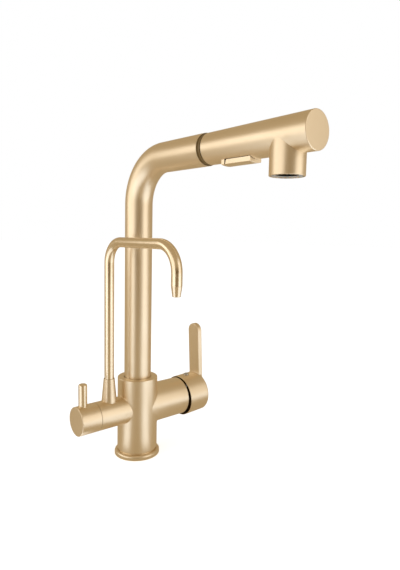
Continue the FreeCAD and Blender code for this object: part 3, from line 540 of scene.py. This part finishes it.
def make_plunger_spring():
    """The spring over the button's plunger, built at one length; the real one shortens as the plunger rises."""
    spring = start_piece("plunger_spring", bpy.ops.mesh.primitive_circle_add,
                         vertices=SPRING_WIRE_SIDES, radius=SPRING_WIRE_R,
                         location=(0, PLUNGER_Y, SPRING_LOW_Z), rotation=(math.pi / 2, 0, 0))
    bpy.ops.transform.translate(value=(SPRING_COIL_R, 0, 0))
    bpy.ops.object.mode_set(mode="OBJECT")
    bpy.ops.object.transform_apply(location=False, rotation=True, scale=True)
    apply_modifier(spring, "SCREW", axis="Z", angle=2 * math.pi, iterations=SPRING_TURNS,
                   screw_offset=SPRING_PITCH, steps=SPRING_TURN_STEPS, render_steps=SPRING_TURN_STEPS)
    bpy.ops.object.mode_set(mode="EDIT")
    bpy.ops.mesh.select_all(action="SELECT")
    bpy.ops.mesh.remove_doubles(threshold=SPRING_MERGE)
    bpy.ops.mesh.fill_holes(sides=0)
    bpy.ops.mesh.normals_make_consistent(inside=False)
    end_piece(spring, "steel", "diverter_spring")
    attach(spring, "spray_head")
    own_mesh(spring)


make_spray_ring()
make_flat_ring("spray_lip", SPRAY_LIP_R, AERATOR_RIM_R + FLAT_RING_GAP, "grey_silicone")
make_flat_ring("aerator_rim", AERATOR_RIM_R, AERATOR_RIM_BORE_R, "black_plastic",
               finish=SPECIAL_FINISHES["aerator_insert"])
make_nozzles()
make_plunger_spring()

# ---- studio ----

STAGE_CENTRE = Vector((0.0, -0.08, 0.19))
LAMP_DISTANCE = 1.2
WORLD_LIGHT = 0.55
FLOOR_SIZE = 30.0
FLOOR_GLOW = 0.57

# a drum of cloth round the tap, its floor with bare sectors where the lamps are mirrored
DRUM_RADIUS = 2.2
DRUM_HEIGHT = 2.6
DRUM_SIDES = 180
DRUM_LIFT = 0.4 * MM
NEAR_FLOOR_RADIUS = 0.22
FOOT_RADIUS = 0.05
DARK_CLOTH_HEIGHT = 0.55
FRONT_CLOTH_DEG = (-26.0, 36.0)
BARE_NEAR_DEG = ((-62.0, -28.0), (32.0, 68.0))
BARE_FAR_DEG = ((-75.0, -25.0), (36.0, 100.0))


def studio_point(turn_deg, rise_deg, distance):
    """A place round the tap: turn is to the camera's right of the camera, rise is above the horizon."""
    turn = math.radians(turn_deg)
    rise = math.radians(rise_deg)
    right, _, forward = camera_axes()
    towards = Vector((-forward.x, -forward.y, 0)).normalized()
    side = Vector((right.x, right.y, 0)).normalized()
    level = towards * math.cos(turn) + side * math.sin(turn)
    return STAGE_CENTRE + (level * math.cos(rise) + Vector((0, 0, 1)) * math.sin(rise)) * distance


def softbox(name, turn_deg, rise_deg, wide, tall, radiance):
    """A rectangular soft lamp that faces the tap. radiance is what its face shows."""
    data = bpy.data.lights.new(name, "AREA")
    data.shape = "RECTANGLE"
    data.size = wide
    data.size_y = tall
    data.energy = radiance * math.pi * wide * tall
    lamp = bpy.data.objects.new(name, data)
    lamp.location = studio_point(turn_deg, rise_deg, LAMP_DISTANCE)
    lamp.rotation_mode = "QUATERNION"
    lamp.rotation_quaternion = (lamp.location - STAGE_CENTRE).to_track_quat("Z", "Y")
    lamp.visible_camera = False
    bpy.context.scene.collection.objects.link(lamp)


def seen_directly(tree):
    """1 for rays that show the background itself: from the camera, and in gloss and glass."""
    ray = add_node(tree, "ShaderNodeLightPath").outputs
    seen = add_node(tree, "ShaderNodeMath", {0: ray["Is Camera Ray"], 1: ray["Is Glossy Ray"]},
                    operation="MAXIMUM")
    both = {0: seen.outputs[0], 1: ray["Is Transmission Ray"]}
    return add_node(tree, "ShaderNodeMath", both, operation="MAXIMUM").outputs[0]


def add_world():
    """A white surround that lights the tap at WORLD_LIGHT."""
    world = bpy.data.worlds.new("white_surround")
    world.use_nodes = True
    tree = world.node_tree
    tree.nodes.clear()
    level = add_node(tree, "ShaderNodeMapRange",
                     {"Value": seen_directly(tree), "To Min": WORLD_LIGHT, "To Max": 1.0})
    background = add_node(tree, "ShaderNodeBackground",
                          {"Color": linear("#FFFFFF"), "Strength": level.outputs["Result"]})
    add_node(tree, "ShaderNodeOutputWorld", {"Surface": background.outputs["Background"]})
    bpy.context.scene.world = world


def add_floor():
    """A pale matt floor with the tap's soft shadow on it."""
    bpy.ops.object.select_all(action="DESELECT")
    bpy.ops.mesh.primitive_plane_add(size=FLOOR_SIZE, location=(0, 0, 0))
    floor = bpy.context.object
    floor.name = "floor"
    material = new_material("pale_matt_floor")
    tree = material.node_tree
    paper = add_node(tree, "ShaderNodeBsdfDiffuse", {"Color": linear("#FAFAFA")})
    level = add_node(tree, "ShaderNodeMath", {0: seen_directly(tree), 1: FLOOR_GLOW},
                     operation="MULTIPLY")
    glow = add_node(tree, "ShaderNodeEmission",
                    {"Color": linear("#FFFFFF"), "Strength": level.outputs[0]})
    both = add_node(tree, "ShaderNodeAddShader", {0: paper.outputs[0], 1: glow.outputs[0]})
    add_node(tree, "ShaderNodeOutputMaterial", {"Surface": both.outputs[0]})
    floor.data.materials.append(material)


def cloth(name, colour):
    """Cloth that shows in gloss at a plain level, whatever falls on it."""
    material = new_material(name)
    tree = material.node_tree
    glow = add_node(tree, "ShaderNodeEmission", {"Color": linear(colour), "Strength": 1.0})
    add_node(tree, "ShaderNodeOutputMaterial", {"Surface": glow.outputs[0]})
    return material


def turn_of(point):
    """A point's turn round the column in degrees, from the camera's side, to the camera's right."""
    right, _, forward = camera_axes()
    to_right = point.x * right.x + point.y * right.y
    to_camera = -point.x * forward.x - point.y * forward.y
    return math.degrees(math.atan2(to_right, to_camera))


def add_surround():
    """A drum of grey and dark cloth, seen by gloss alone, that gives the metal its darker bands."""
    bpy.ops.object.select_all(action="DESELECT")
    place = (0.0, 0.0, DRUM_HEIGHT / 2 + DRUM_LIFT)
    bpy.ops.mesh.primitive_cylinder_add(vertices=DRUM_SIDES, radius=DRUM_RADIUS, depth=DRUM_HEIGHT,
                                        end_fill_type="TRIFAN", location=place)
    drum = bpy.context.object
    drum.name = "surround"
    drum.data.materials.append(cloth("warm_grey_cloth", "#BAA685"))
    drum.data.materials.append(cloth("warm_dark_cloth", "#4C3512"))
    select_faces(drum, lambda face: face.normal.z < -LEVEL)
    bpy.ops.mesh.inset(thickness=DRUM_RADIUS - NEAR_FLOOR_RADIUS)
    bpy.ops.mesh.inset(thickness=NEAR_FLOOR_RADIUS - FOOT_RADIUS)
    bpy.ops.mesh.select_all(action="SELECT")
    bpy.ops.mesh.bisect(plane_co=(0, 0, DARK_CLOTH_HEIGHT), plane_no=(0, 0, 1))
    bpy.ops.object.mode_set(mode="OBJECT")

    def bare(face):
        middle = face.center + drum.location
        sectors = BARE_NEAR_DEG if middle.xy.length < NEAR_FLOOR_RADIUS else BARE_FAR_DEG
        in_sector = any(start < turn_of(middle) < end for start, end in sectors)
        return face.normal.z < -LEVEL and in_sector and middle.xy.length > FOOT_RADIUS

    for face in drum.data.polygons:
        middle = face.center + drum.location
        in_front = FRONT_CLOTH_DEG[0] < turn_of(middle) < FRONT_CLOTH_DEG[1]
        face.material_index = int(in_front and middle.z < DARK_CLOTH_HEIGHT and not is_level(face))
    select_faces(drum, bare)
    bpy.ops.mesh.delete(type="FACE")
    bpy.ops.object.mode_set(mode="OBJECT")
    drum.visible_camera = False
    drum.visible_diffuse = False
    drum.visible_shadow = False
    drum.visible_transmission = False


add_camera()
add_world()
add_floor()
add_surround()
softbox("left_softbox", turn_deg=-58, rise_deg=2, wide=1.42, tall=1.28, radiance=0.84)
softbox("left_rim_softbox", turn_deg=-93, rise_deg=15, wide=0.4, tall=0.6, radiance=0.95)
softbox("right_softbox", turn_deg=65, rise_deg=10, wide=0.96, tall=1.45, radiance=0.82)

scene = bpy.context.scene
scene.view_settings.view_transform = "Standard"
